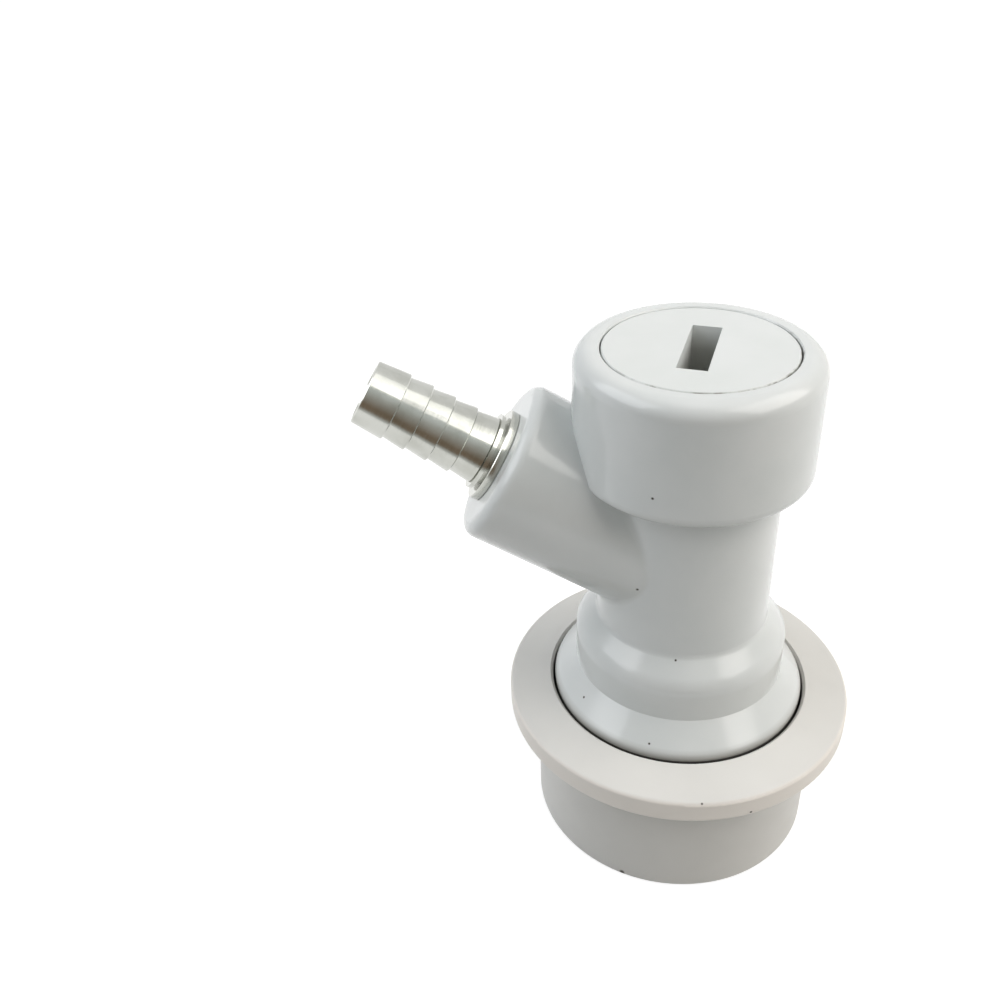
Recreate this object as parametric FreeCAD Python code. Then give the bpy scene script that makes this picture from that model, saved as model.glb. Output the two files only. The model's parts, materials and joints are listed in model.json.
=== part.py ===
import FreeCAD, Part
import math
import os

# Ball lock disconnect: a quick coupling that snaps over the post of a drinks keg.
# Millimetres, +Z up. The origin is the centre of the collar's bottom face, the main axis is Z,
# and the side arm with its hose tail points to -X.

# Overall form of the body
body_height = 58.5
head_radius = 12.05
head_height = 13.0
head_top_rounding = 1.8
head_bottom_rounding = 1.4
neck_radius = 9.25
neck_foot_height = 28.0
neck_rounding = 0.9
shoulder_radius = 11.4
shoulder_bottom_height = 21.2
shoulder_top_height = 25.4
shoulder_rounding = 0.6
rim_stand = 0.3
rim_rounding = 0.9
guide_bottom_height = 15.5

# Side arm and hose tail
arm_elevation = 29.5
arm_cross_height = 35.0
arm_root_radius = 8.2
arm_end_radius = 8.45
arm_length = 22.5
arm_end_rounding = 1.2
arm_blend = 1.2
shank_radius = 3.8
shank_length = 9.4
shank_clearance = 0.05
shank_nose_gap = 0.2
tail_ring_radius = 4.9
tail_ring_thickness = 0.85
tail_groove_radius = 3.3
tail_groove_width = 0.3
tail_disc_radius = 4.1
tail_disc_thickness = 0.4
barb_radius = 3.6
barb_valley_radius = 3.3
barb_pitch = 2.47
barb_count = 4
barb_edge = 0.08
tail_tip_length = 3.48
tail_tip_radius = 3.36
tail_bore_radius = 2.6
tail_mouth_chamfer = 0.3

# Release collar
collar_skirt_radius = 15.75
collar_flange_radius = 19.0
collar_flange_thickness = 2.7
collar_rim_height = 17.15
collar_hole_height = 18.0
collar_bore_radius = 14.1
collar_edge_rounding = 0.45
collar_relief_radius = 14.0
collar_ledge_height = 8.5
collar_lift = 4.0
seam_gap = 0.25
edge_break = 0.3

# Barrel, lock balls and retaining ring
barrel_radius = 12.2
barrel_slide_gap = 0.15
socket_radius = 9.25
socket_depth = 11.8
socket_cone_height = 1.5
socket_lead_in = 1.0
ball_diameter = 3.969
ball_count = 3
ball_height = 5.8
ball_travel = 1.1
ball_pocket_gap = 0.06
ball_land_gap = 0.05
first_ball_angle = 90.0
ring_thickness = 1.0
ring_height = 1.6
ring_groove_depth = 0.6
ring_groove_gap = 0.05
ring_outer_radius = 13.75
ring_opening_angle = 34.0

# Keg post's bore and the valve
seal_bore_radius = 7.95
seal_bore_length = 8.2
pin_recess_radius = 7.0
pin_recess_depth = 3.1
seat_hole_radius = 3.5
seat_wall = 2.4
chamber_radius = 5.75
pin_stem_radius = 1.6
pin_tip_recess = 1.1
pin_tip_chamfer = 0.5
pin_hole_gap = 0.2
pin_lip_thickness = 0.6
pin_flange_radius = 4.7
pin_flange_thickness = 1.3
pin_boss_radius = 2.5
pin_boss_height = 2.4
seal_ring_wire_radius = 0.8
seal_ring_sides = 8
seal_groove_radius = 2.9
seal_groove_gap = 0.03
seal_seat_gap = 0.04

# Screw cap and its gasket
cap_rim_radius = 9.3
cap_rim_gap = 0.15
cap_top_drop = 0.05
cap_rim_thickness = 2.35
cap_edge_break = 0.12
cap_plug_radius = 8.2
cap_thread_gap = 0.1
cap_plug_length = 7.6
cap_plug_floor_gap = 0.9
cap_spring_pocket_radius = 4.3
cap_spring_pocket_depth = 3.5
slot_width = 2.9
slot_length = 9.7
slot_depth = 4.9
slot_angle = 77.5
gasket_thickness = 1.1
gasket_gap = 0.05

# Springs
collar_spring_wire_radius = 0.4
collar_spring_turns = 3.0
valve_spring_wire_radius = 0.35
valve_spring_radius = 3.4
valve_spring_turns = 6.5
spring_steps_per_turn = 20
spring_wire_sides = 8

# Sizes that follow from the ones above
ball_radius = ball_diameter / 2
land_radius = barrel_radius + barrel_slide_gap
ball_rest_radius = land_radius - ball_land_gap - ball_radius
cam_slope = ball_travel / collar_lift
ring_top = ring_height + ring_thickness
guide_radius = collar_bore_radius - seam_gap
rim_height = collar_hole_height + rim_stand
seal_bore_bottom = socket_depth + socket_cone_height
seal_bore_top = seal_bore_bottom + seal_bore_length
pin_tip_height = seal_bore_top + pin_tip_recess
pin_recess_top = seal_bore_top + pin_recess_depth
seat_height = pin_recess_top + seat_wall
head_bottom = body_height - head_height
shank_bore_radius = shank_radius + shank_clearance
shank_bore_start = arm_length - shank_length - shank_nose_gap
cap_top = body_height - cap_top_drop
cap_rim_bottom = cap_top - cap_rim_thickness
cap_plug_bottom = cap_rim_bottom - cap_plug_length
cap_pocket_top = cap_plug_bottom + cap_spring_pocket_depth
chamber_top = cap_plug_bottom - cap_plug_floor_gap
gasket_bottom = cap_rim_bottom - gasket_thickness
cap_bore_radius = cap_plug_radius + cap_thread_gap
cap_seat_radius = cap_rim_radius + cap_rim_gap
seal_ring_radius = seal_groove_radius + seal_groove_gap + seal_ring_wire_radius
seal_ring_height = (
    seat_height
    + seal_ring_radius
    - seat_hole_radius
    + (seal_ring_wire_radius + seal_seat_gap) * math.sqrt(2)
)
seal_groove_half = seal_ring_wire_radius + seal_groove_gap
pin_flange_bottom = seal_ring_height + seal_groove_half
pin_flange_top = pin_flange_bottom + pin_flange_thickness

# How closely the arm's root curve is looked for
root_search = 0.02
root_samples = 7

centre = FreeCAD.Vector(0, 0, 0)
up = FreeCAD.Vector(0, 0, 1)


def point(radius, height):
    """A point of a turned outline, in the XZ plane."""
    return FreeCAD.Vector(radius, 0, height)


def rounded_corner(before, corner, after, rounding):
    """The two ends and the middle of an arc that rounds one corner of an outline."""
    back = (before - corner).normalize()
    on = (after - corner).normalize()
    half = back.getAngle(on) / 2
    reach = rounding / math.tan(half)
    middle = (back + on).normalize()
    arc_middle = corner + middle * (rounding / math.sin(half) - rounding)
    return corner + back * reach, arc_middle, corner + on * reach


def outline(corners):
    """A closed wire through corners given as (radius, height) or (radius, height, rounding)."""
    places = [point(corner[0], corner[1]) for corner in corners]
    edges = []
    starts = []
    for index, corner in enumerate(corners):
        if len(corner) == 2:
            starts.append((places[index], places[index]))
            continue
        after = places[(index + 1) % len(corners)]
        first, middle, last = rounded_corner(places[index - 1], places[index], after, corner[2])
        edges.append(Part.Arc(first, middle, last).toShape())
        starts.append((first, last))
    for index in range(len(corners)):
        leave = starts[index][1]
        arrive = starts[(index + 1) % len(corners)][0]
        if leave.distanceToPoint(arrive) > 1e-6:
            edges.append(Part.makeLine(leave, arrive))
    return Part.Wire(Part.__sortEdges__(edges))


def turned(corners):
    """A solid of revolution about the main axis."""
    return Part.Face(outline(corners)).revolve(centre, up, 360)


def along_arm(shape):
    """Lay a shape that was made along +Z on the side arm's axis."""
    laid = shape.copy()
    laid.rotate(centre, FreeCAD.Vector(0, 1, 0), arm_elevation - 90)
    laid.translate(FreeCAD.Vector(0, 0, arm_cross_height))
    return laid


def body_column():
    """Barrel, guide rim, cone, shoulder and neck, up into the head."""
    groove_radius = barrel_radius - ring_groove_depth
    return turned([
        (0, 0),
        (barrel_radius - edge_break, 0),
        (barrel_radius, edge_break),
        (barrel_radius, ring_height - ring_groove_gap),
        (groove_radius, ring_height - ring_groove_gap),
        (groove_radius, ring_top + ring_groove_gap),
        (barrel_radius, ring_top + ring_groove_gap),
        (barrel_radius, guide_bottom_height),
        (guide_radius, guide_bottom_height),
        (guide_radius, rim_height, rim_rounding),
        (shoulder_radius, shoulder_bottom_height),
        (shoulder_radius, shoulder_top_height, shoulder_rounding),
        (neck_radius, neck_foot_height, neck_rounding),
        (neck_radius, gasket_bottom),
        (0, gasket_bottom),
    ])


def body_head():
    """The round head, with the rounding that runs from its underside into the neck."""
    return turned([
        (0, neck_foot_height),
        (neck_radius, neck_foot_height),
        (neck_radius, head_bottom, neck_rounding),
        (head_radius, head_bottom, head_bottom_rounding),
        (head_radius, body_height, head_top_rounding),
        (0, body_height),
    ])


def side_arm():
    """The moulded arm, which widens a little from the main axis to its soft round end."""
    return along_arm(turned([
        (0, 0),
        (arm_root_radius, 0),
        (arm_end_radius, arm_length, arm_end_rounding),
        (0, arm_length),
    ]))


def body_bores():
    """Everything that is hollow on the main axis, from the keg post's socket to the cap's seat."""
    above = body_height + 1
    return turned([
        (0, -1),
        (socket_radius + socket_lead_in, -1),
        (socket_radius + socket_lead_in, 0),
        (socket_radius, socket_lead_in),
        (socket_radius, socket_depth),
        (seal_bore_radius, seal_bore_bottom),
        (seal_bore_radius, seal_bore_top),
        (pin_recess_radius, seal_bore_top),
        (pin_recess_radius, pin_recess_top),
        (seat_hole_radius, pin_recess_top),
        (seat_hole_radius, seat_height),
        (chamber_radius, seat_height + chamber_radius - seat_hole_radius),
        (chamber_radius, chamber_top),
        (cap_bore_radius, chamber_top),
        (cap_bore_radius, gasket_bottom),
        (cap_seat_radius, gasket_bottom),
        (cap_seat_radius, body_height - cap_edge_break),
        (cap_seat_radius + cap_edge_break, body_height),
        (cap_seat_radius + cap_edge_break, above),
        (0, above),
    ])


def arm_passage():
    """The flow passage in the arm and the bore that holds the hose tail's shank."""
    return along_arm(turned([
        (0, 0),
        (tail_bore_radius, 0),
        (tail_bore_radius, shank_bore_start),
        (shank_bore_radius, shank_bore_start),
        (shank_bore_radius, arm_length + 1),
        (0, arm_length + 1),
    ]))


def around_axis(shape, index):
    """A copy of a shape on +X, turned to the place of one lock ball."""
    copy = shape.copy()
    copy.rotate(centre, up, first_ball_angle + index * 360 / ball_count)
    return copy


def ball_pocket():
    """A drilling from outside with a ball nosed end, so that the ball can't fall into the socket."""
    pocket_radius = ball_radius + ball_pocket_gap
    start = FreeCAD.Vector(ball_rest_radius, 0, ball_height)
    drilling = Part.makeCylinder(pocket_radius, barrel_radius, start, FreeCAD.Vector(1, 0, 0))
    return drilling.fuse(Part.makeSphere(pocket_radius, start))


def arm_root_edges(shape):
    """The curve where the arm's side runs into the neck."""
    found = []
    for edge in shape.Edges:
        on_neck = [
            abs(math.hypot(place.x, place.y) - neck_radius) < root_search
            for place in edge.discretize(root_samples)
        ]
        if all(on_neck) and edge.Curve.TypeId == "Part::GeomBSplineCurve":
            found.append(edge)
    return found


def valve_body():
    """The one glossy moulding, with its bores, arm passage and ball pockets."""
    stem = body_column().fuse(side_arm())
    outside = stem.makeFillet(arm_blend, arm_root_edges(stem)).fuse(body_head())
    body = outside.cut(body_bores()).cut(arm_passage())
    for index in range(ball_count):
        body = body.cut(around_axis(ball_pocket(), index))
    return body


def hose_barb():
    """Stainless hose tail: shank, shoulder ring, thin disc and barbs that face the arm."""
    ring_end = arm_length + tail_ring_thickness
    disc_start = ring_end + tail_groove_width
    disc_end = disc_start + tail_disc_thickness
    tail_start = arm_length - shank_length
    corners = [
        (tail_bore_radius, tail_start),
        (shank_radius - edge_break, tail_start),
        (shank_radius, tail_start + edge_break),
        (shank_radius, arm_length),
        (tail_ring_radius - barb_edge, arm_length),
        (tail_ring_radius, arm_length + barb_edge),
        (tail_ring_radius, ring_end - barb_edge),
        (tail_ring_radius - barb_edge, ring_end),
        (tail_groove_radius, ring_end),
        (tail_groove_radius, disc_start),
        (tail_disc_radius, disc_start),
        (tail_disc_radius, disc_end),
    ]
    for index in range(barb_count):
        barb_start = disc_end + index * barb_pitch
        corners.append((barb_radius - barb_edge, barb_start))
        corners.append((barb_radius, barb_start + barb_edge))
        corners.append((barb_valley_radius, barb_start + barb_pitch))
    tip_start = disc_end + barb_count * barb_pitch
    tip_end = tip_start + tail_tip_length
    corners.append((barb_radius - barb_edge, tip_start))
    corners.append((barb_radius, tip_start + barb_edge))
    corners.append((tail_tip_radius, tip_end - barb_edge))
    corners.append((tail_tip_radius - barb_edge, tip_end))
    corners.append((tail_bore_radius + tail_mouth_chamfer, tip_end))
    corners.append((tail_bore_radius, tip_end - tail_mouth_chamfer))
    return along_arm(turned(corners))


def release_collar():
    """Flanged ring with a cam inside that lets the balls move out as it is lifted."""
    cam_offset = (ball_radius + ball_land_gap) * math.hypot(1, cam_slope)
    cam_at_ball = ball_rest_radius + cam_offset
    cam_top = ball_height + (cam_at_ball - land_radius) / cam_slope
    cam_bottom_radius = cam_at_ball + (ball_height - ring_top) * cam_slope
    return turned([
        (collar_relief_radius + edge_break, 0),
        (collar_skirt_radius - edge_break, 0),
        (collar_skirt_radius, edge_break),
        (collar_skirt_radius, collar_rim_height - collar_flange_thickness),
        (collar_flange_radius, collar_rim_height - collar_flange_thickness, collar_edge_rounding),
        (collar_flange_radius, collar_rim_height, collar_edge_rounding),
        (collar_bore_radius + edge_break, collar_hole_height),
        (collar_bore_radius, collar_hole_height - edge_break),
        (collar_bore_radius, collar_ledge_height),
        (land_radius, collar_ledge_height),
        (land_radius, cam_top),
        (cam_bottom_radius, ring_top),
        (collar_relief_radius, ring_top),
        (collar_relief_radius, edge_break),
    ])


def collar_ring():
    """Split flat retaining ring in the barrel's groove, which the collar comes down on."""
    inner_radius = barrel_radius - ring_groove_depth + ring_groove_gap
    ring = turned([
        (inner_radius, ring_height),
        (ring_outer_radius, ring_height),
        (ring_outer_radius, ring_top),
        (inner_radius, ring_top),
    ])
    opening = Part.makeCylinder(
        ring_outer_radius + 1,
        ring_thickness + 2,
        FreeCAD.Vector(0, 0, ring_height - 1),
        up,
        ring_opening_angle,
    )
    opening.rotate(centre, up, -ring_opening_angle / 2)
    return ring.cut(opening)


def lock_ball(index):
    start = FreeCAD.Vector(ball_rest_radius, 0, ball_height)
    return around_axis(Part.makeSphere(ball_radius, start), index)


def coil(radius, wire_radius, bottom, top, turns):
    """A compression spring of faceted wire whose ends are ground flat at two heights."""
    pitch = (top - bottom) / turns
    steps = math.ceil((turns + 2 * wire_radius / pitch) * spring_steps_per_turn)
    rise = (top - bottom + 2 * wire_radius) / steps
    path = []
    for step in range(steps + 1):
        turn = 2 * math.pi * step / spring_steps_per_turn
        height = bottom - wire_radius + step * rise
        path.append(FreeCAD.Vector(radius * math.cos(turn), radius * math.sin(turn), height))
    forward = (path[1] - path[0]).normalize()
    side = forward.cross(FreeCAD.Vector(1, 0, 0)).normalize()
    outward = side.cross(forward)
    section = []
    for corner in range(spring_wire_sides + 1):
        turn = 2 * math.pi * (corner + 0.5) / spring_wire_sides
        offset = outward * math.cos(turn) + side * math.sin(turn)
        section.append(path[0] + offset * wire_radius)
    wire = Part.makePolygon(path).makePipeShell([Part.makePolygon(section)], True, False, 1)
    reach = radius + 2 * wire_radius
    return wire.common(Part.makeCylinder(reach, top - bottom, FreeCAD.Vector(0, 0, bottom), up))


def collar_spring():
    """Lies between the collar's ledge and the underside of the guide rim."""
    middle_radius = (barrel_radius + collar_bore_radius) / 2
    return coil(
        middle_radius,
        collar_spring_wire_radius,
        collar_ledge_height,
        guide_bottom_height,
        collar_spring_turns,
    )


def valve_spring():
    """Lies between the pin's flange and the floor of the cap's pocket."""
    return coil(
        valve_spring_radius,
        valve_spring_wire_radius,
        pin_flange_top,
        cap_pocket_top,
        valve_spring_turns,
    )


def valve_pin():
    """Stainless pin: chamfered tip, stem, lip, groove for the seal, flange and spring boss."""
    lip_radius = seat_hole_radius - pin_hole_gap
    lip_top = seal_ring_height - seal_groove_half
    return turned([
        (0, pin_tip_height),
        (pin_stem_radius - pin_tip_chamfer, pin_tip_height),
        (pin_stem_radius, pin_tip_height + pin_tip_chamfer),
        (pin_stem_radius, lip_top - pin_lip_thickness),
        (lip_radius, lip_top - pin_lip_thickness),
        (lip_radius, lip_top),
        (seal_groove_radius, lip_top),
        (seal_groove_radius, pin_flange_bottom),
        (pin_flange_radius, pin_flange_bottom),
        (pin_flange_radius, pin_flange_top),
        (pin_boss_radius, pin_flange_top),
        (pin_boss_radius, pin_flange_top + pin_boss_height - edge_break),
        (pin_boss_radius - edge_break, pin_flange_top + pin_boss_height),
        (0, pin_flange_top + pin_boss_height),
    ])


def valve_seal():
    """Rubber ring in the pin's groove, with an eight-sided section that lies on the conical seat."""
    corner_reach = seal_ring_wire_radius / math.cos(math.pi / seal_ring_sides)
    corners = []
    for side in range(seal_ring_sides):
        turn = 2 * math.pi * (side + 0.5) / seal_ring_sides
        corners.append((
            seal_ring_radius + corner_reach * math.cos(turn),
            seal_ring_height + corner_reach * math.sin(turn),
        ))
    return turned(corners)


def top_cap():
    """Screw plug with a slot for a coin, a sealing rim and a pocket for the valve's spring."""
    plug = turned([
        (0, cap_pocket_top),
        (cap_spring_pocket_radius, cap_pocket_top),
        (cap_spring_pocket_radius, cap_plug_bottom),
        (cap_plug_radius - edge_break, cap_plug_bottom),
        (cap_plug_radius, cap_plug_bottom + edge_break),
        (cap_plug_radius, cap_rim_bottom),
        (cap_rim_radius, cap_rim_bottom),
        (cap_rim_radius, cap_top - cap_edge_break),
        (cap_rim_radius - cap_edge_break, cap_top),
        (0, cap_top),
    ])
    slot_corner = FreeCAD.Vector(-slot_length / 2, -slot_width / 2, cap_top - slot_depth)
    slot = Part.makeBox(slot_length, slot_width, slot_depth + 1, slot_corner)
    slot.rotate(centre, up, slot_angle)
    return plug.cut(slot)


def cap_gasket():
    """Flat rubber ring under the cap's rim."""
    return turned([
        (cap_bore_radius + gasket_gap, gasket_bottom),
        (cap_rim_radius, gasket_bottom),
        (cap_rim_radius, cap_rim_bottom),
        (cap_bore_radius + gasket_gap, cap_rim_bottom),
    ])


def save(name, shape):
    shape.exportStep("parts/" + name + ".step")
    print(name, "volume", round(shape.Volume, 3), "solids", len(shape.Solids), "ok", shape.isValid())


os.makedirs("parts", exist_ok=True)
save("valve_body", valve_body())
save("top_cap", top_cap())
save("cap_gasket", cap_gasket())
save("valve_spring", valve_spring())
save("valve_pin", valve_pin())
save("valve_seal", valve_seal())
save("hose_barb", hose_barb())
save("release_collar", release_collar())
save("collar_spring", collar_spring())
save("collar_ring", collar_ring())
for ball in range(ball_count):
    save("lock_ball_" + str(ball + 1), lock_ball(ball))
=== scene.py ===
# %% [markdown]
# # A ball lock disconnect, dressed in Blender
#
# The real object is a quick coupling of about 58 mm that snaps over the post of a drinks keg.
# Its body is one glossy light grey moulding with a side arm. A matt grey collar slides on it
# and lets three steel balls go. A screw cap closes the top, and a turned steel hose tail sits
# in the arm. The shapes come from CAD. This script gives them their finishes, swaps the
# eight-sided wire of the springs for round wire, and lights the whole as a small studio would.

# %% Load the CAD model
import json
import math

import bmesh
import bpy
from mathutils import Matrix, Vector


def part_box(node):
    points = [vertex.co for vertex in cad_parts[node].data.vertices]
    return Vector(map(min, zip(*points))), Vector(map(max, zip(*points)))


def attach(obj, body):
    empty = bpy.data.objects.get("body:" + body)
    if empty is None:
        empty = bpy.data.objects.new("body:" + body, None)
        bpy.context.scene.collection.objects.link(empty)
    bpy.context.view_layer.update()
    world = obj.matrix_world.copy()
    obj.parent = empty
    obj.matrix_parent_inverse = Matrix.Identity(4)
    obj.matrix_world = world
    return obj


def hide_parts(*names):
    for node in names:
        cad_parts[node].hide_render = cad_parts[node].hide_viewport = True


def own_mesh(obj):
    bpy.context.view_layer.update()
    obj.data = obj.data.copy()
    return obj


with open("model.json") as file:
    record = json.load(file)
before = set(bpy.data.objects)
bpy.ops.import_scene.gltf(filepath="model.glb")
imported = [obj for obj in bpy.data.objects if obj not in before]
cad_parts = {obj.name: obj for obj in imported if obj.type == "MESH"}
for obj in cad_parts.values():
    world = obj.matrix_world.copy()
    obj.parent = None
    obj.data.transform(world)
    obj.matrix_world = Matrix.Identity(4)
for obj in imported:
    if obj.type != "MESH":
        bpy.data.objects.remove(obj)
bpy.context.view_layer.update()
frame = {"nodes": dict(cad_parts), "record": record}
MM = 0.001
print("CAD nodes:", ", ".join(sorted(frame["nodes"])))

# %% [markdown]
# ## The camera
#
# The photograph was taken from close by, a little above the object, and the camera leans
# slightly to one side. Its place and angles were found by matching the round edges of the
# object, which a camera sees as ellipses. An object this small and near needs the near limit
# of the camera moved in, or the camera would cut it away.

# %% Set the camera at the photograph's view
CAMERA_PLACE = Vector((-9.01, -92.13, 101.64)) * MM
CAMERA_PITCH = math.radians(33.273)
CAMERA_YAW = math.radians(-6.495)
CAMERA_ROLL = math.radians(-2.426)
CAMERA_LENS_MM = 38.1
CAMERA_SENSOR_MM = 36.0
CAMERA_NEAR_LIMIT = 0.005


def camera_matrix(place, pitch, yaw, roll):
    """Stands a camera at a place, looking along +Y and down by the pitch."""
    forward = Vector((
        math.sin(yaw) * math.cos(pitch),
        math.cos(yaw) * math.cos(pitch),
        -math.sin(pitch),
    ))
    level_right = Vector((math.cos(yaw), -math.sin(yaw), 0.0))
    level_up = level_right.cross(forward)
    right = math.cos(roll) * level_right + math.sin(roll) * level_up
    up = right.cross(forward)
    turn = Matrix((right, up, -forward)).transposed()
    return Matrix.Translation(place) @ turn.to_4x4()


camera_data = bpy.data.cameras.new("camera")
camera_data.lens = CAMERA_LENS_MM
camera_data.sensor_width = CAMERA_SENSOR_MM
camera_data.sensor_fit = "HORIZONTAL"
camera_data.clip_start = CAMERA_NEAR_LIMIT
camera = bpy.data.objects.new("camera", camera_data)
camera.matrix_world = camera_matrix(CAMERA_PLACE, CAMERA_PITCH, CAMERA_YAW, CAMERA_ROLL)
bpy.context.scene.collection.objects.link(camera)
bpy.context.scene.camera = camera
print("camera at", [round(value / MM, 1) for value in camera.location], "mm")

# %% [markdown]
# ## Two helpers for every material
#
# Colours are written as they are picked on a screen, in sRGB hex, but the renderer counts in
# linear light, so one function turns the one into the other. Another adds a node, sets it up
# and wires it. With these two, a material reads as a short list of steps.

# %% Write colour and node helpers
def linear(code):
    """The linear colour of an sRGB hex code such as E4E6E4."""
    shares = [int(code[place:place + 2], 16) / 255 for place in (0, 2, 4)]
    return [
        share / 12.92 if share <= 0.04045 else ((share + 0.055) / 1.055) ** 2.4
        for share in shares
    ] + [1.0]


def add(tree, kind, settings=None, **inputs):
    """Adds a node. An input is a number, a colour or the output of another node."""
    node = tree.nodes.new("ShaderNode" + kind)
    for name, value in (settings or {}).items():
        setattr(node, name, value)
    for name, value in inputs.items():
        key = int(name[1:]) if name[1:].isdigit() else name.replace("_", " ")
        if isinstance(value, bpy.types.NodeSocket):
            tree.links.new(value, node.inputs[key])
        else:
            node.inputs[key].default_value = value
    return node


def new_material(name):
    """A material with its shader, its node tree and the coordinates that its patterns read."""
    material = bpy.data.materials.new(name)
    material.use_nodes = True
    tree = material.node_tree
    shader = tree.nodes["Principled BSDF"]
    place = tree.nodes.new("ShaderNodeTexCoord").outputs["Object"]
    return material, tree, shader, place


print("light grey in linear light:", [round(value, 3) for value in linear("E4E6E4")])

# %% [markdown]
# ## Patterns that the plastics share
#
# Moulded plastic is never quite even. Its colour drifts a little where the melt flowed, and
# its surface keeps the faint waviness of the polished mould. Both are soft noise, and each
# gets its scale from a real size in millimetres, because the model is in metres. Soft noise
# seldom leaves the middle of its range, so a pattern stretches one part of it: a short part
# gives patches with firm edges, and a long one a slow drift.

# %% Write the shared patterns
FIRM = (0.35, 0.65)
SLOW = (0.3, 0.7)
SPARSE = (0.4, 0.7)


def noise(tree, place, size_mm, detail=2.0, roughness=0.5):
    """Soft noise whose patches are about size_mm across."""
    node = add(tree, "TexNoise", Vector=place, Scale=1 / (size_mm * MM), Detail=detail,
               Roughness=roughness)
    return node.outputs["Fac"]


def spread(tree, value, low, high, start=0.0, end=1.0):
    """Stretches the part of a pattern from start to end over the numbers low to high."""
    node = add(tree, "MapRange", i0=value, i1=start, i2=end, i3=low, i4=high)
    return node.outputs["Result"]


def blend(tree, share, first, second):
    """Mixes two colours by a pattern."""
    node = add(tree, "Mix", {"data_type": "RGBA"}, i0=share, i6=first, i7=second)
    return node.outputs[2]


def sums(tree, kind, first, second=0.0, third=0.0):
    """One step of arithmetic between patterns."""
    node = add(tree, "Math", {"operation": kind}, i0=first, i1=second, i2=third)
    return node.outputs[0]


def bump(tree, height, depth_mm, strength=1.0):
    """Turns a pattern into relief of a real depth."""
    node = add(tree, "Bump", Height=height, Distance=depth_mm * MM, Strength=strength)
    return node.outputs["Normal"]


print("soft noise is stretched over", FIRM, SLOW, "or", SPARSE)


# %% [markdown]
# ## Specks
#
# A few dark specks sit in the real moulding: burnt grains of plastic that came through with
# the melt. A speck is drawn where the surface comes within a tenth of a millimetre or so of a
# named place. The places lie on the surface, so each speck stays a small round dot.

# %% Write the specks
SPECK_CORE = 0.6
SPECK_FADE = 1.3


def specks(tree, place, spots):
    """A pattern that is 1 within the given radius of each spot, both in millimetres."""
    shown = 0.0
    for spot, radius in spots:
        where = [value * MM for value in spot]
        away = add(tree, "VectorMath", {"operation": "DISTANCE"}, i0=place, i1=where)
        dot = spread(tree, away.outputs["Value"], 1.0, 0.0, radius * SPECK_CORE * MM,
                     radius * SPECK_FADE * MM)
        shown = sums(tree, "MAXIMUM", shown, dot)
    return shown


print("a speck fades out at", SPECK_FADE, "times its radius")

# %% [markdown]
# ## Dirt and painted shade
#
# Two places are darkened: the joint between cap and head, with dirt and painted shade in its
# gap, and the low part of the round rim that the collar slides on, with painted shade. Both
# places are rings around the main axis, so each pattern starts from how far a point is from that
# axis and how high it is. The joint is darkest on one side, and patchy there, so noise and a
# direction weaken it elsewhere.

# %% Write the two rings: dirt and painted shade in the seam, painted shade on the rim
CAP_SEAM_RADIUS = 9.375
CAP_SEAM_REACH = 0.22
SEAM_PATCH = 1.2
SEAM_DARK_SIDE = (0.5, -0.87, 0.0)
RIM_INSIDE = 12.7
RIM_OUTSIDE = 12.9
BARREL_TOP = 15.0


def axis_distance(tree, place):
    """How far a point is from the main axis."""
    flat = add(tree, "VectorMath", {"operation": "MULTIPLY"}, i0=place, i1=(1, 1, 0))
    length = add(tree, "VectorMath", {"operation": "LENGTH"}, i0=flat.outputs[0])
    return length.outputs["Value"]


def height(tree, place):
    """How high a point is."""
    return add(tree, "SeparateXYZ", i0=place).outputs["Z"]


def seam_dirt_and_shade(tree, place):
    """Dirt and painted shade along the joint between cap and head, darkest on one side."""
    away = sums(tree, "ABSOLUTE", sums(tree, "SUBTRACT", axis_distance(tree, place),
                                       CAP_SEAM_RADIUS * MM))
    near = spread(tree, away, 1.0, 0.0, 0.5 * CAP_SEAM_REACH * MM, CAP_SEAM_REACH * MM)
    patchy = spread(tree, noise(tree, place, SEAM_PATCH, 3.0), 0.25, 1.0, 0.45, 0.62)
    side = add(tree, "VectorMath", {"operation": "DOT_PRODUCT"}, i0=place, i1=SEAM_DARK_SIDE)
    darker_side = spread(tree, side.outputs["Value"], 0.1, 1.0, -2.0 * MM, 6.0 * MM)
    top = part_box("valve_body")[1].z
    near_top = spread(tree, height(tree, place), 0.0, 1.0, top - 1.2 * MM, top - 0.2 * MM)
    return sums(tree, "MULTIPLY", sums(tree, "MULTIPLY", near, patchy),
                sums(tree, "MULTIPLY", darker_side, near_top))


def rim_shade_painted(tree, place, darkest_at, clean_at):
    """Painted shade on the round rim that guides the collar, dark low down and gone further up.
    """
    outside = spread(tree, axis_distance(tree, place), 0.0, 1.0, RIM_INSIDE * MM,
                     RIM_OUTSIDE * MM)
    rise = height(tree, place)
    below = spread(tree, rise, 1.0, 0.0, darkest_at * MM, clean_at * MM)
    above_barrel = sums(tree, "GREATER_THAN", rise, BARREL_TOP * MM)
    return sums(tree, "MULTIPLY", sums(tree, "MULTIPLY", outside, below), above_barrel)


print("grime lies within", CAP_SEAM_REACH, "mm of the cap's seam")

# %% [markdown]
# ## Body: glossy moulded acetal
#
# The body is acetal, moulded in a polished tool. To the eye it is an even light grey with a
# hard, slightly cool shine. It reflects the lamps as clear edged patches, so the roughness is
# low, with a little unevenness that keeps the patches from looking like glass.

# %% Name the body's marks and painted shade
BODY_SPECKS = [
    ((-4.33, -11.24, 48.7), 0.14),
    ((-5.18, -8.07, 35.7), 0.16),
    ((-1.02, -9.41, 27.75), 0.12),
    ((-10.4, -7.03, 19.83), 0.13),
    ((-3.44, -12.76, 19.05), 0.12),
]


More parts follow.
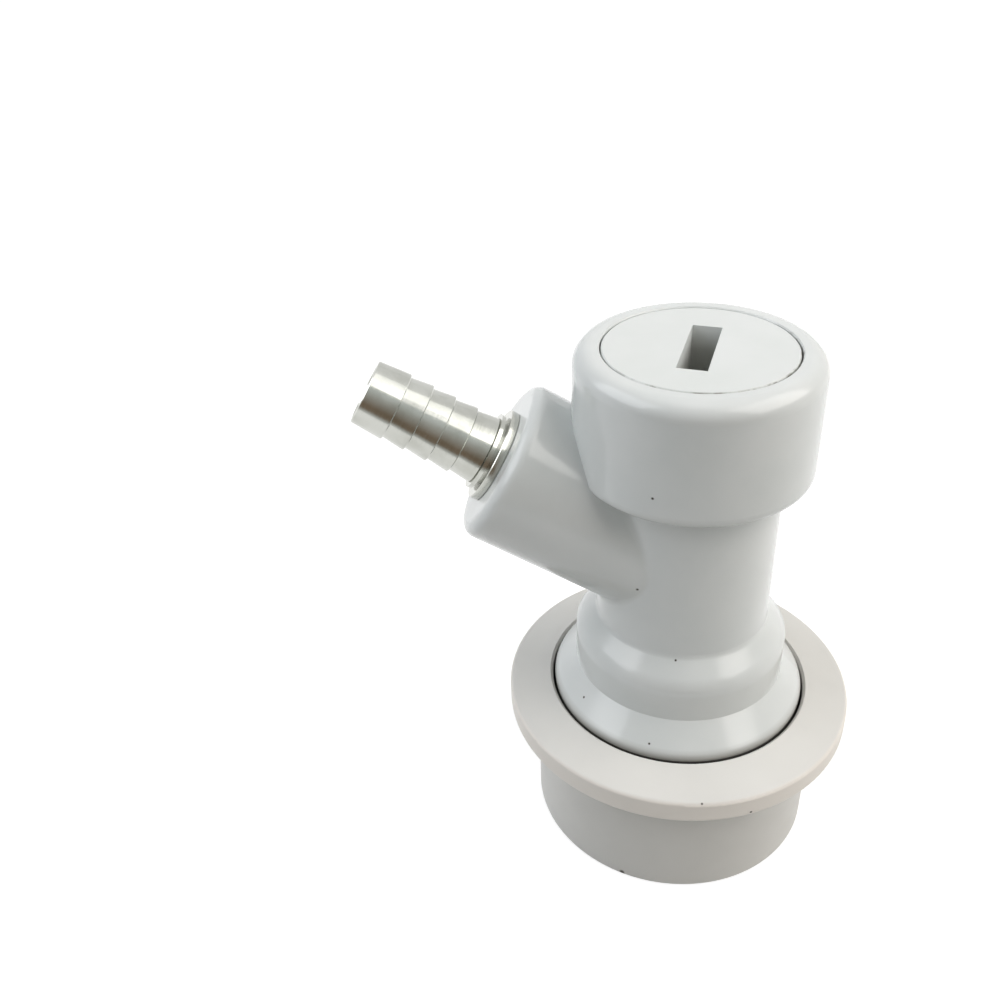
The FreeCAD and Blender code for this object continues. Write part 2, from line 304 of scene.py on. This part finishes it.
def body_marks_and_shade(tree, place):
    """What darkens the body, marks and painted shade, each with its colour."""
    return [
        # dirt and painted shade in the gap of the cap seam
        (seam_dirt_and_shade(tree, place), "77746C"),
        # painted shade: the rim's low edge darkens softly towards the collar
        (rim_shade_painted(tree, place, 17.9, 18.9), "A3A29D"),
        # painted shadow: a dark line where the rim meets the collar
        (rim_shade_painted(tree, place, 17.7, 17.85), "454441"),
        (specks(tree, place, BODY_SPECKS), "4A453F"),
    ]


print("the body has", len(BODY_SPECKS), "specks")

# %% [markdown]
# ## The shoulder's soft edge
#
# Above the collar the body has a shoulder, whose upper edge is softly rounded on the real
# moulding, more than in the solids. The shape stays as it is, and only the shading changes: in a
# band around the edge the normal, the direction that a surface faces, is worked out anew. It
# turns slowly from level on the wall to the tilt of the slope, so a highlight rolls over the
# edge instead of breaking there.

# %% Turn the normals over the shoulder's edge
SLOPE_TILT = math.atan2(2.15, 2.6)
EDGE_LOW = 24.3
EDGE_HIGH = 26.3
NECK_CLEAR = 10.2


def soft_shoulder(tree, place, normal):
    """Turns the normals slowly over the shoulder's upper edge, which is softly rounded."""
    flat = add(tree, "VectorMath", {"operation": "MULTIPLY"}, i0=place, i1=(1, 1, 0))
    outward = add(tree, "VectorMath", {"operation": "NORMALIZE"}, i0=flat.outputs[0])
    rise = height(tree, place)
    tilt = spread(tree, rise, 0.0, SLOPE_TILT, EDGE_LOW * MM, EDGE_HIGH * MM)
    level_part = add(tree, "VectorMath", {"operation": "SCALE"}, i0=outward.outputs[0],
                     Scale=sums(tree, "COSINE", tilt))
    upright_part = add(tree, "CombineXYZ", Z=sums(tree, "SINE", tilt))
    turned = add(tree, "VectorMath", {"operation": "ADD"}, i0=level_part.outputs[0],
                 i1=upright_part.outputs[0])
    world = add(tree, "VectorTransform", {"vector_type": "NORMAL", "convert_from": "OBJECT",
                                          "convert_to": "WORLD"}, i0=turned.outputs[0])
    in_band = sums(tree, "COMPARE", rise, (EDGE_LOW + EDGE_HIGH) / 2 * MM,
                   (EDGE_HIGH - EDGE_LOW) / 2 * MM)
    on_outside = sums(tree, "GREATER_THAN", axis_distance(tree, place), NECK_CLEAR * MM)
    on_edge = sums(tree, "MULTIPLY", in_band, on_outside)
    mixed = add(tree, "Mix", {"data_type": "VECTOR"}, i0=on_edge, i4=normal, i5=world.outputs[0])
    return mixed.outputs[1]


print("the shoulder's slope is tilted by", round(math.degrees(SLOPE_TILT), 1), "degrees")

# %% Make the body's material
FLOW_PATCH = 9.0
POLISH_PATCH = 2.5
MOULD_WAVE = 3.0
MOULD_WAVE_DEPTH = 0.02
ACETAL_IOR = 1.48


def acetal(name, colour, drift, marks, smoothest, roughest):
    """Glossy moulded acetal with drift in its colour, and marks and painted shade on it."""
    material, tree, shader, place = new_material(name)
    flow = spread(tree, noise(tree, place, FLOW_PATCH, 3.0), 0.0, 1.0, *FIRM)
    base = blend(tree, flow, linear(colour), linear(drift))
    for pattern, mark_colour in marks(tree, place):
        base = blend(tree, pattern, base, linear(mark_colour))
    tree.links.new(base, shader.inputs["Base Color"])
    rough = spread(tree, noise(tree, place, POLISH_PATCH, 4.0), smoothest, roughest, *SLOW)
    tree.links.new(rough, shader.inputs["Roughness"])
    wavy = noise(tree, place, MOULD_WAVE, 2.0)
    tree.links.new(bump(tree, wavy, MOULD_WAVE_DEPTH, 0.25), shader.inputs["Normal"])
    shader.inputs["IOR"].default_value = ACETAL_IOR
    return material


body_material = acetal("moulded_acetal_grey", "DCDFDE", "D6DAD9", body_marks_and_shade, 0.1, 0.17)
body_tree = body_material.node_tree
body_shader = body_tree.nodes["Principled BSDF"]
soft_normal = soft_shoulder(
    body_tree,
    body_tree.nodes["Texture Coordinate"].outputs["Object"],
    body_shader.inputs["Normal"].links[0].from_socket,
)
body_tree.links.new(soft_normal, body_shader.inputs["Normal"])
print("body material has", len(body_tree.nodes), "nodes")

# %% [markdown]
# ## Cap: the same plastic from another mould
#
# The cap's face is a touch softer in shine, because a flat mould face is polished less than a
# round one. Its slot is deep and narrow, and its walls are painted greyer the deeper they go, as
# painted shade.

# %% Make the cap's material
SLOT_SHADE_START = 0.2
SLOT_SHADE_FULL = 2.5


def cap_marks_and_shade(tree, place):
    """Dirt and painted shade along the seam, and painted shade down in the slot."""
    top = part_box("top_cap")[1].z
    # painted shade: the slot's walls grey more the deeper they lie
    deep = spread(tree, height(tree, place), 1.0, 0.0, top - SLOT_SHADE_FULL * MM,
                  top - SLOT_SHADE_START * MM)
    # the seam line is dirt and painted shade in the gap
    return [(seam_dirt_and_shade(tree, place), "77746C"), (deep, "B4B5B1")]


cap_material = acetal("moulded_acetal_cap", "DDE0DF", "D8DCDA", cap_marks_and_shade, 0.28, 0.38)
print("cap material has", len(cap_material.node_tree.nodes), "nodes")

# %% [markdown]
# ## Collar: matt moulded polypropylene
#
# The collar is grabbed with two fingers, so it is left matt: the mould is blasted with fine
# grit. It looks slightly warmer than the body and shows no clear reflections. The grit is too
# fine to see at this size, so it is drawn at 0.25 mm, coarser than the real 0.05 mm. The rim
# of its flange is painted lighter: a painted highlight. Under the rim runs the flash line, the
# thin pale ridge where the two halves of the mould met.

# %% Make the collar's material
COLLAR_SPECKS = [
    ((1.74, -18.77, 17.1), 0.12),
    ((-5.76, -14.66, 0.45), 0.30),
    ((6.88, -17.71, 15.0), 0.14),
]
FLASH_HEIGHT = 14.62
FLASH_HALF = (0.1, 0.22)
FLANGE_INSIDE = 18.4
RIM_HIGHLIGHT_BAND = (18.7, 18.95)
GRIT = 0.25
GRIT_DEPTH = 0.01
collar_material, tree, shader, place = new_material("moulded_polypropylene_matt")
flow = spread(tree, noise(tree, place, 12.0, 3.0), 0.0, 1.0, *FIRM)
base = blend(tree, flow, linear("DDDCD8"), linear("D7D6D2"))
# painted highlight: the flange's outer rim is painted lighter
rim_highlight = spread(tree, axis_distance(tree, place), 0.0, 1.0,
                *(radius * MM for radius in RIM_HIGHLIGHT_BAND))
base = blend(tree, rim_highlight, base, linear("EDE8E1"))
above_flash = sums(tree, "SUBTRACT", height(tree, place), FLASH_HEIGHT * MM)
low_edge = sums(tree, "ABSOLUTE", above_flash)
flash = spread(tree, low_edge, 1.0, 0.0, *(reach * MM for reach in FLASH_HALF))
uneven = spread(tree, noise(tree, place, 2.2, 3.0), 0.35, 1.0, 0.35, 0.6)
on_flange = sums(tree, "GREATER_THAN", axis_distance(tree, place), FLANGE_INSIDE * MM)
flash = sums(tree, "MULTIPLY", sums(tree, "MULTIPLY", flash, uneven), on_flange)
base = blend(tree, flash, base, linear("FBF8F3"))
base = blend(tree, specks(tree, place, COLLAR_SPECKS), base, linear("5A5650"))
tree.links.new(base, shader.inputs["Base Color"])
rough = spread(tree, noise(tree, place, 1.5, 4.0), 0.42, 0.52, *SLOW)
tree.links.new(rough, shader.inputs["Roughness"])
grit = noise(tree, place, GRIT, 2.0)
tree.links.new(bump(tree, grit, GRIT_DEPTH, 0.5), shader.inputs["Normal"])
shader.inputs["IOR"].default_value = 1.49
shader.inputs["Specular IOR Level"].default_value = 0.25
print("collar material has", len(tree.nodes), "nodes")

# %% [markdown]
# ## Steel parts: turned, drawn and polished
#
# All the metal is stainless steel, and what differs is how its surface was made. The hose tail
# and the pin were turned on a lathe, so fine rings run around their axis. The rings are noise
# in one direction only, along the axis. Drawn wire has a dull even skin. The balls were
# tumbled until they shone.

# %% Make the turned steel of the hose tail and the pin
ARM_AXIS = Vector(
    next(mount for mount in frame["record"]["mounts"] if mount["name"] == "hose_tail")["axis"]
).normalized()


def turned_steel(name, colour, shade, axis, ring_mm, roughness):
    """Stainless steel with lathe rings around an axis."""
    material, tree, shader, place = new_material(name)
    along = add(tree, "VectorMath", {"operation": "DOT_PRODUCT"}, i0=place, i1=axis)
    rings = add(tree, "TexNoise", {"noise_dimensions": "1D"}, W=along.outputs["Value"],
                Scale=1 / (ring_mm * MM), Detail=3.0).outputs["Fac"]
    tarnish = spread(tree, noise(tree, place, 2.5, 4.0), 0.0, 1.0, *SPARSE)
    base = blend(tree, tarnish, linear(colour), linear(shade))
    tree.links.new(base, shader.inputs["Base Color"])
    rough = spread(tree, rings, roughness - 0.04, roughness + 0.08, *SLOW)
    tree.links.new(rough, shader.inputs["Roughness"])
    tree.links.new(bump(tree, rings, 0.001, 0.5), shader.inputs["Normal"])
    shader.inputs["Metallic"].default_value = 1.0
    return material


tail_material = turned_steel("turned_stainless_tail", "C4C5BF", "B6B7B0", ARM_AXIS, 0.12, 0.16)
pin_material = turned_steel("turned_stainless_pin", "C8C6C0", "BDBAB2", Vector((0, 0, 1)),
                            0.15, 0.2)
print("the tail's rings run around", [round(part, 3) for part in ARM_AXIS])

# %% Make the drawn wire and the polished balls
wire_material, tree, shader, place = new_material("drawn_spring_wire")
skin = spread(tree, noise(tree, place, 0.6, 4.0), 0.0, 1.0, *FIRM)
base = blend(tree, skin, linear("B9B7B2"), linear("A6A39C"))
tree.links.new(base, shader.inputs["Base Color"])
tree.links.new(spread(tree, skin, 0.28, 0.4), shader.inputs["Roughness"])
shader.inputs["Metallic"].default_value = 1.0

ball_material, tree, shader, place = new_material("polished_ball_steel")
haze = spread(tree, noise(tree, place, 0.8, 3.0), 0.0, 1.0, *FIRM)
base = blend(tree, haze, linear("D2D1CE"), linear("C6C5C1"))
tree.links.new(base, shader.inputs["Base Color"])
tree.links.new(spread(tree, haze, 0.06, 0.12), shader.inputs["Roughness"])
shader.inputs["Metallic"].default_value = 1.0
print("made", wire_material.name, "and", ball_material.name)

# %% [markdown]
# ## Rubber seals
#
# Nitrile rubber is almost black and dull, with a faint dusty bloom that makes it look soft.

# %% Make the rubber
rubber_material, tree, shader, place = new_material("nitrile_rubber")
bloom = spread(tree, noise(tree, place, 1.2, 4.0), 0.0, 1.0, *SPARSE)
base = blend(tree, bloom, linear("232323"), linear("32322F"))
tree.links.new(base, shader.inputs["Base Color"])
tree.links.new(spread(tree, bloom, 0.55, 0.7), shader.inputs["Roughness"])
tree.links.new(bump(tree, noise(tree, place, 0.3, 2.0), 0.01, 0.4), shader.inputs["Normal"])
shader.inputs["IOR"].default_value = 1.52
print("made", rubber_material.name)

# %% [markdown]
# ## Dress the CAD pieces
#
# A CAD piece comes with its shape and an empty finish. Its material goes into the slots that
# the piece already has, so nothing about its shape or place changes.

# %% Give every CAD piece its material
FINISHES = {
    "valve_body": body_material,
    "top_cap": cap_material,
    "cap_gasket": rubber_material,
    "valve_spring": wire_material,
    "valve_pin": pin_material,
    "valve_seal": rubber_material,
    "hose_barb": tail_material,
    "release_collar": collar_material,
    "collar_spring": wire_material,
    "collar_ring": wire_material,
    "lock_ball_1": ball_material,
    "lock_ball_2": ball_material,
    "lock_ball_3": ball_material,
}
for node_name, material in FINISHES.items():
    slots = frame["nodes"][node_name].material_slots
    for material_slot in slots:
        material_slot.material = material
print("finished", len(FINISHES), "CAD pieces")

# %% [markdown]
# ## Round wire for the springs
#
# Both springs are compression springs: round wire, wound open in the middle and closed at the
# ends, where the last coils lie against each other to give a flat foot. A circle spun around
# the axis while it climbs makes a coil. Three spins in a row, slow, fast and slow climbing,
# make the closed ends and the open middle in one unbroken wire.

# %% Write the spring winder
WIRE_SIDES = 12
STEPS_PER_TURN = 40
SHARP_EDGE = math.radians(40)


def wind_spring(name, wire_radius, coil_radius, bottom, top, turns, end_turns):
    """A spring of round wire between two heights. The sizes are in metres."""
    bm = bmesh.new()
    bmesh.ops.create_circle(bm, segments=WIRE_SIDES, radius=wire_radius)
    bmesh.ops.rotate(bm, verts=bm.verts, matrix=Matrix.Rotation(math.pi / 2, 3, "X"))
    bmesh.ops.translate(bm, verts=bm.verts, vec=(coil_radius, 0, bottom + wire_radius))
    end_rise = 2 * wire_radius * end_turns
    middle_rise = top - bottom - 2 * wire_radius - 2 * end_rise
    ring = bm.edges[:]
    for count, rise in ((end_turns, end_rise), (turns - 2 * end_turns, middle_rise),
                        (end_turns, end_rise)):
        steps = round(count * STEPS_PER_TURN)
        made = bmesh.ops.spin(
            bm, geom=ring, cent=(0, 0, 0), axis=(0, 0, 1), dvec=(0, 0, rise / steps),
            angle=2 * math.pi * count, steps=steps,
        )
        ring = [item for item in made["geom_last"] if isinstance(item, bmesh.types.BMEdge)]
    bmesh.ops.holes_fill(bm, edges=[edge for edge in bm.edges if edge.is_boundary])
    bmesh.ops.recalc_face_normals(bm, faces=bm.faces)
    return finished_piece(name, bm)


def finished_piece(name, bm):
    """Turns a bmesh into a smooth shaded object at the origin."""
    mesh = bpy.data.meshes.new(name)
    bm.to_mesh(mesh)
    bm.free()
    mesh.shade_smooth()
    mesh.set_sharp_from_angle(angle=SHARP_EDGE)
    piece = bpy.data.objects.new(name, mesh)
    bpy.context.scene.collection.objects.link(piece)
    print(name, "has", len(mesh.polygons), "faces")
    return piece


# %% Wind both springs
def spring_for(node, wire_radius, turns, end_turns):
    """A spring of round wire in the place of a CAD spring."""
    low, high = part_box(node)
    reach = max(high.x, high.y)
    spring = wind_spring(node + "_wire", wire_radius, reach - wire_radius, low.z, high.z, turns,
                         end_turns)
    spring.data.materials.append(wire_material)
    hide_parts(node)
    return spring


def let_squash(spring):
    """Gives a spring its own copy of its mesh."""
    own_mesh(spring)


collar_wire = spring_for("collar_spring", 0.4 * MM, 3.5, 0.75)
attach(collar_wire, "spring_body")
let_squash(collar_wire)

valve_wire = spring_for("valve_spring", 0.35 * MM, 8.0, 1.25)
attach(valve_wire, "fixed_body")
let_squash(valve_wire)

# %% [markdown]
# ## The seal on the pin
#
# The rubber ring on the pin is a common O-ring. A small circle spun once around the axis makes
# it, and the spin is told to merge its ends so that no seam is left.

# %% Make the O-ring
RUBBER_SIDES = 24
RUBBER_STEPS = 72
seal_low, seal_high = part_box("valve_seal")
seal_wire_radius = (seal_high.z - seal_low.z) / 2
seal_ring_radius = seal_high.x - seal_wire_radius
bm = bmesh.new()
bmesh.ops.create_circle(bm, segments=RUBBER_SIDES, radius=seal_wire_radius)
bmesh.ops.rotate(bm, verts=bm.verts, matrix=Matrix.Rotation(math.pi / 2, 3, "X"))
bmesh.ops.translate(
    bm, verts=bm.verts, vec=(seal_ring_radius, 0, (seal_low.z + seal_high.z) / 2))
bmesh.ops.spin(bm, geom=bm.edges[:], cent=(0, 0, 0), axis=(0, 0, 1), angle=2 * math.pi,
               steps=RUBBER_STEPS, use_merge=True)
bmesh.ops.remove_doubles(bm, verts=bm.verts, dist=0.001 * MM)
bmesh.ops.recalc_face_normals(bm, faces=bm.faces)
o_ring = finished_piece("pin_o_ring", bm)
o_ring.data.materials.append(rubber_material)
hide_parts("valve_seal")
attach(o_ring, "valve_pin_body")

# %% [markdown]
# ## Studio: floor and white surroundings
#
# The photograph shows the object on pure white. The floor and the world are white to the
# camera and in reflections, and give only soft grey light to the object, so its pale sides keep
# their shading. A little of the floor's own shading is kept, so the object's shadow stays.

# %% Lay the floor
def seen_directly(tree):
    """1 for rays from the camera and for those reflected or passed on by the object."""
    path = add(tree, "LightPath")
    direct = sums(tree, "MAXIMUM", path.outputs["Is Camera Ray"], path.outputs["Is Glossy Ray"])
    return sums(tree, "MAXIMUM", direct, path.outputs["Is Transmission Ray"])


FLOOR_HALF_WIDTH = 1.5
FLOOR_GLOW = 0.8
SHADOW_REACH = (0.08, 0.25)
bm = bmesh.new()
bmesh.ops.create_grid(bm, x_segments=1, y_segments=1, size=FLOOR_HALF_WIDTH)
floor = finished_piece("floor", bm)
floor_material = bpy.data.materials.new("white_table")
floor_material.use_nodes = True
tree = floor_material.node_tree
tree.nodes.remove(tree.nodes["Principled BSDF"])
paint = add(tree, "BsdfDiffuse", Color=linear("BCBCBA"))
near = add(tree, "VectorMath", {"operation": "LENGTH"},
           i0=tree.nodes.new("ShaderNodeTexCoord").outputs["Object"])
glow_level = spread(tree, near.outputs["Value"], FLOOR_GLOW, 1.0, *SHADOW_REACH)
glow = add(tree, "Emission", Color=linear("FFFFFF"), Strength=glow_level)
thin_paint = add(tree, "BsdfDiffuse", Color=linear("A0A0A0"))
white = add(tree, "AddShader", i0=thin_paint.outputs[0], i1=glow.outputs[0])
shown = add(tree, "MixShader", i0=seen_directly(tree), i1=paint.outputs[0],
            i2=white.outputs[0])
tree.links.new(shown.outputs[0], tree.nodes["Material Output"].inputs["Surface"])
floor.data.materials.append(floor_material)
print("the floor glows fully from", SHADOW_REACH[1], "m outwards")

# %% Set the world
WORLD_LIGHT = 0.02
world = bpy.data.worlds.new("studio")
bpy.context.scene.world = world
world.use_nodes = True
tree = world.node_tree
light = add(tree, "Background", Color=linear("FFFFFF"), Strength=WORLD_LIGHT)
white = add(tree, "Background", Color=linear("FFFFFF"), Strength=1.0)
shown = add(tree, "MixShader", i0=seen_directly(tree), i1=light.outputs[0],
            i2=white.outputs[0])
tree.links.new(shown.outputs[0], tree.nodes["World Output"].inputs["Surface"])
print("the world lights the object at", WORLD_LIGHT, "and shows as white")

# %% [markdown]
# ## Studio: lamps
#
# The patches of light on the body's slopes show two large soft lamps, one left and one right of
# the camera, and the bright cap shows a weaker one above. Two more light the back, so the object
# also looks right from there, and reflections leave them out because the photograph has none.

# %% Hang the lamps
LAMP_TARGET = Vector((0.0, 0.0, 0.03))


def lamp(name, azimuth, elevation, distance, width, tall, watts, colour):
    """A soft lamp that faces the object. Azimuth 0 is in front and 90 on the right."""
    turn = math.radians(azimuth)
    rise = math.radians(elevation)
    way = Vector((
        math.sin(turn) * math.cos(rise),
        -math.cos(turn) * math.cos(rise),
        math.sin(rise),
    ))
    data = bpy.data.lights.new(name, "AREA")
    data.shape = "RECTANGLE"
    data.size = width
    data.size_y = tall
    data.energy = watts
    data.color = linear(colour)[:3]
    place = bpy.data.objects.new(name, data)
    place.location = LAMP_TARGET + way * distance
    place.rotation_euler = way.to_track_quat("Z", "Y").to_euler()
    bpy.context.scene.collection.objects.link(place)
    return place


lamp("lamp_right", 76, 42, 0.5, 0.54, 0.42, 2.3, "FFFBF6")
lamp("lamp_left", -80, 38, 0.5, 0.5, 0.34, 1.5, "F8FBFF")
lamp("lamp_top", 0, 89, 0.6, 0.5, 0.4, 0.6, "FFFDFA")
for name, azimuth, watts in (("lamp_back_left", -130, 0.33), ("lamp_back_right", 130, 0.45)):
    back_lamp = lamp(name, azimuth, 35, 0.5, 0.42, 0.34, watts, "FFFFFF")
    back_lamp.visible_glossy = False
print("hung", len(bpy.data.lights), "lamps")

# %% [markdown]
# ## Studio: the dark side of the room
#
# The dark band on the steel tail is the unlit room in front of the table. A bent panel, which
# only reflections see, stands for that room: brown where it is low and far, and grey towards
# the ceiling and the table's edge. A grid gives its level part, and its far edge is extruded
# upwards for the wall.

# %% Stand the dark side of the room in front
ROOM_NEAR = -0.09
ROOM_FAR = -0.50
ROOM_HALF_WIDTH = 0.6
ROOM_TOP = 0.8
ROOM_LIFT = 0.001
TABLE_EDGE_START = -0.16
CEILING_GLOW = (0.02, 0.50)
bm = bmesh.new()
bmesh.ops.create_grid(bm, x_segments=1, y_segments=1, size=1.0)
bmesh.ops.scale(bm, verts=bm.verts, vec=(ROOM_HALF_WIDTH, (ROOM_NEAR - ROOM_FAR) / 2, 1.0))
bmesh.ops.translate(bm, verts=bm.verts, vec=(0, (ROOM_NEAR + ROOM_FAR) / 2, ROOM_LIFT))
room_middle = (ROOM_NEAR + ROOM_FAR) / 2
far_edge = [edge for edge in bm.edges if all(vert.co.y < room_middle for vert in edge.verts)]
raised = bmesh.ops.extrude_edge_only(bm, edges=far_edge)["geom"]
raised_corners = [item for item in raised if isinstance(item, bmesh.types.BMVert)]
bmesh.ops.translate(bm, verts=raised_corners, vec=(0, 0, ROOM_TOP))
room = finished_piece("dark_side_of_the_room", bm)
room_material = bpy.data.materials.new("dim_brown_room")
room_material.use_nodes = True
tree = room_material.node_tree
tree.nodes.remove(tree.nodes["Principled BSDF"])
spot = add(tree, "SeparateXYZ", i0=tree.nodes.new("ShaderNodeTexCoord").outputs["Object"])
table_edge = spread(tree, spot.outputs["Y"], 0.0, 1.0, TABLE_EDGE_START, ROOM_NEAR)
ceiling = spread(tree, spot.outputs["Z"], 0.0, 1.0, *CEILING_GLOW)
lit = sums(tree, "MAXIMUM", table_edge, ceiling)
colour = blend(tree, lit, linear("80705F"), linear("D6DBDA"))
glow = add(tree, "Emission", Color=colour, Strength=1.0)
tree.links.new(glow.outputs[0], tree.nodes["Material Output"].inputs["Surface"])
room.data.materials.append(room_material)
room.visible_camera = False
room.visible_diffuse = False
room.visible_shadow = False

# %% [markdown]
# ## Tones
#
# The Standard view shows a colour as it is written, with no film-like curve over it.

# %% Set the picture's tones
bpy.context.scene.view_settings.view_transform = "Standard"
